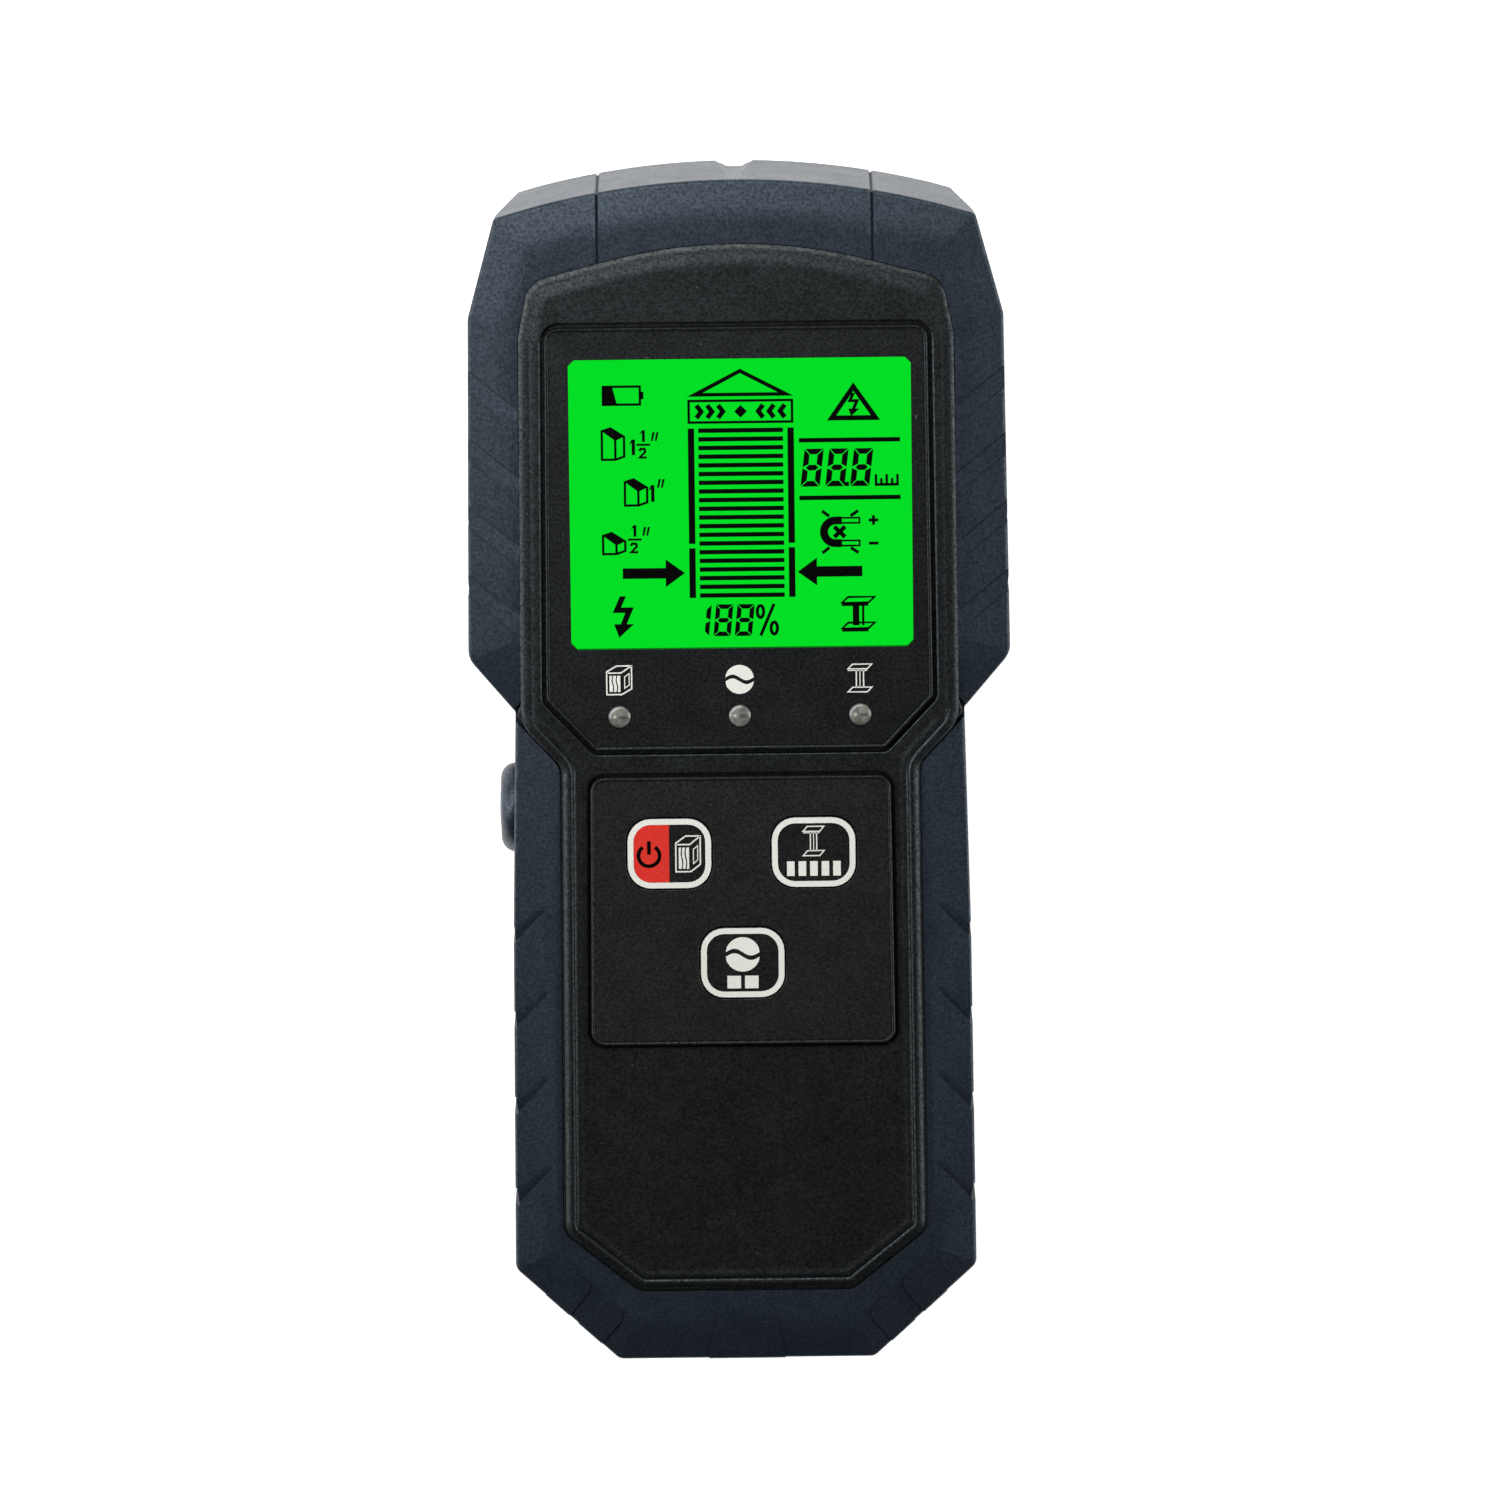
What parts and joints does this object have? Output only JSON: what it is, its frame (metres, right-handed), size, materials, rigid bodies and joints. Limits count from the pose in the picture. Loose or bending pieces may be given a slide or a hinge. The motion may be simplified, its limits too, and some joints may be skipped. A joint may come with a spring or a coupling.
{
  "type": "stud finder",
  "caption": "Hand-held wall scanner with rubber armour, a backlit display, indicator lights, front keys, a side button and a sliding battery door.",
  "frame": {"origin": "middle of the underside, on the plane that the glide pads rest on", "axes": "+Z out of the front face, +Y towards the sensing end, +X to the right seen from the front"},
  "size_m": [0.0676, 0.1493, 0.0279],
  "materials": {
    "housing": "fine-grained moulded ABS",
    "armour": "satin navy thermoplastic rubber",
    "button_rubber": "satin navy rubber",
    "display_lens": "printed polycarbonate overlay",
    "key_panel": "fine-textured membrane overlay",
    "power_key": "red and black printed membrane",
    "key": "printed membrane with a pale ring",
    "switch": "tinned steel can",
    "light": "frosted epoxy",
    "circuit_board": "green solder mask",
    "lcd": "backlit green liquid crystal panel",
    "backlight": "white light guide",
    "white_plastic": "natural nylon",
    "black_rubber": "moulded black elastomer",
    "black_lead": "PVC insulated lead",
    "red_lead": "PVC insulated lead",
    "black_component": "epoxy moulded component",
    "capacitor": "sleeved aluminium can",
    "bright_metal": "drawn metal can",
    "screw_steel": "zinc-plated steel",
    "felt": "pressed felt",
    "copper": "bare copper",
    "battery": "printed steel jacket"
  },
  "bodies": {
    "body": {"front_housing": "housing", "back_housing": "housing", "head_armour": "armour", "handle_armour": "armour", "display_lens": "display_lens", "key_panel": "key_panel", "power_switch": "switch", "metal_switch": "switch", "ac_switch": "switch", "stud_light": "light", "ac_light": "light", "metal_light": "light", "case_screw_1": "screw_steel", "case_screw_2": "screw_steel", "case_screw_3": "screw_steel", "case_screw_4": "screw_steel", "board_screw_1": "screw_steel", "board_screw_2": "screw_steel", "board_screw_3": "screw_steel", "board_screw_4": "screw_steel", "head_pad_left": "felt", "head_pad_right": "felt", "handle_pad_left": "felt", "handle_pad_right": "felt", "main_board": "circuit_board", "lcd_glass": "lcd", "lcd_backlight": "backlight", "lcd_frame": "white_plastic", "lcd_connector": "black_rubber", "side_switch": "switch", "buzzer": "black_component", "capacitor": "capacitor", "microcontroller": "black_component", "crystal": "bright_metal", "sensor_board": "circuit_board", "board_header": "black_component", "coil_bobbin": "white_plastic", "search_coil": "copper", "stud_electrode_left": "copper", "stud_electrode_right": "copper", "battery": "battery", "battery_snap": "black_rubber", "battery_lead_red": "red_lead", "battery_lead_black": "black_lead"},
    "power_key": {"power_key": "power_key"},
    "metal_key": {"metal_key": "key"},
    "ac_key": {"ac_key": "key"},
    "side_button": {"side_button": "button_rubber"},
    "battery_door": {"battery_door": "housing"}
  },
  "joints": [
    {"name": "power_key_press", "type": "slide", "parent": "body", "child": "power_key", "axis": [0, 0, -1], "range_m": [0, 0.0004], "stiffness_N_per_m": 1500, "springref_m": -0.0004},
    {"name": "metal_key_press", "type": "slide", "parent": "body", "child": "metal_key", "axis": [0, 0, -1], "range_m": [0, 0.0004], "stiffness_N_per_m": 1500, "springref_m": -0.0004},
    {"name": "ac_key_press", "type": "slide", "parent": "body", "child": "ac_key", "axis": [0, 0, -1], "range_m": [0, 0.0004], "stiffness_N_per_m": 1500, "springref_m": -0.0004},
    {"name": "side_button_press", "type": "slide", "parent": "body", "child": "side_button", "axis": [1, 0, 0], "range_m": [0, 0.0008], "stiffness_N_per_m": 1500, "springref_m": -0.0004},
    {"name": "battery_door_slide", "type": "slide", "parent": "body", "child": "battery_door", "axis": [0, -1, 0], "range_m": [0, 0.058]}
  ]
}
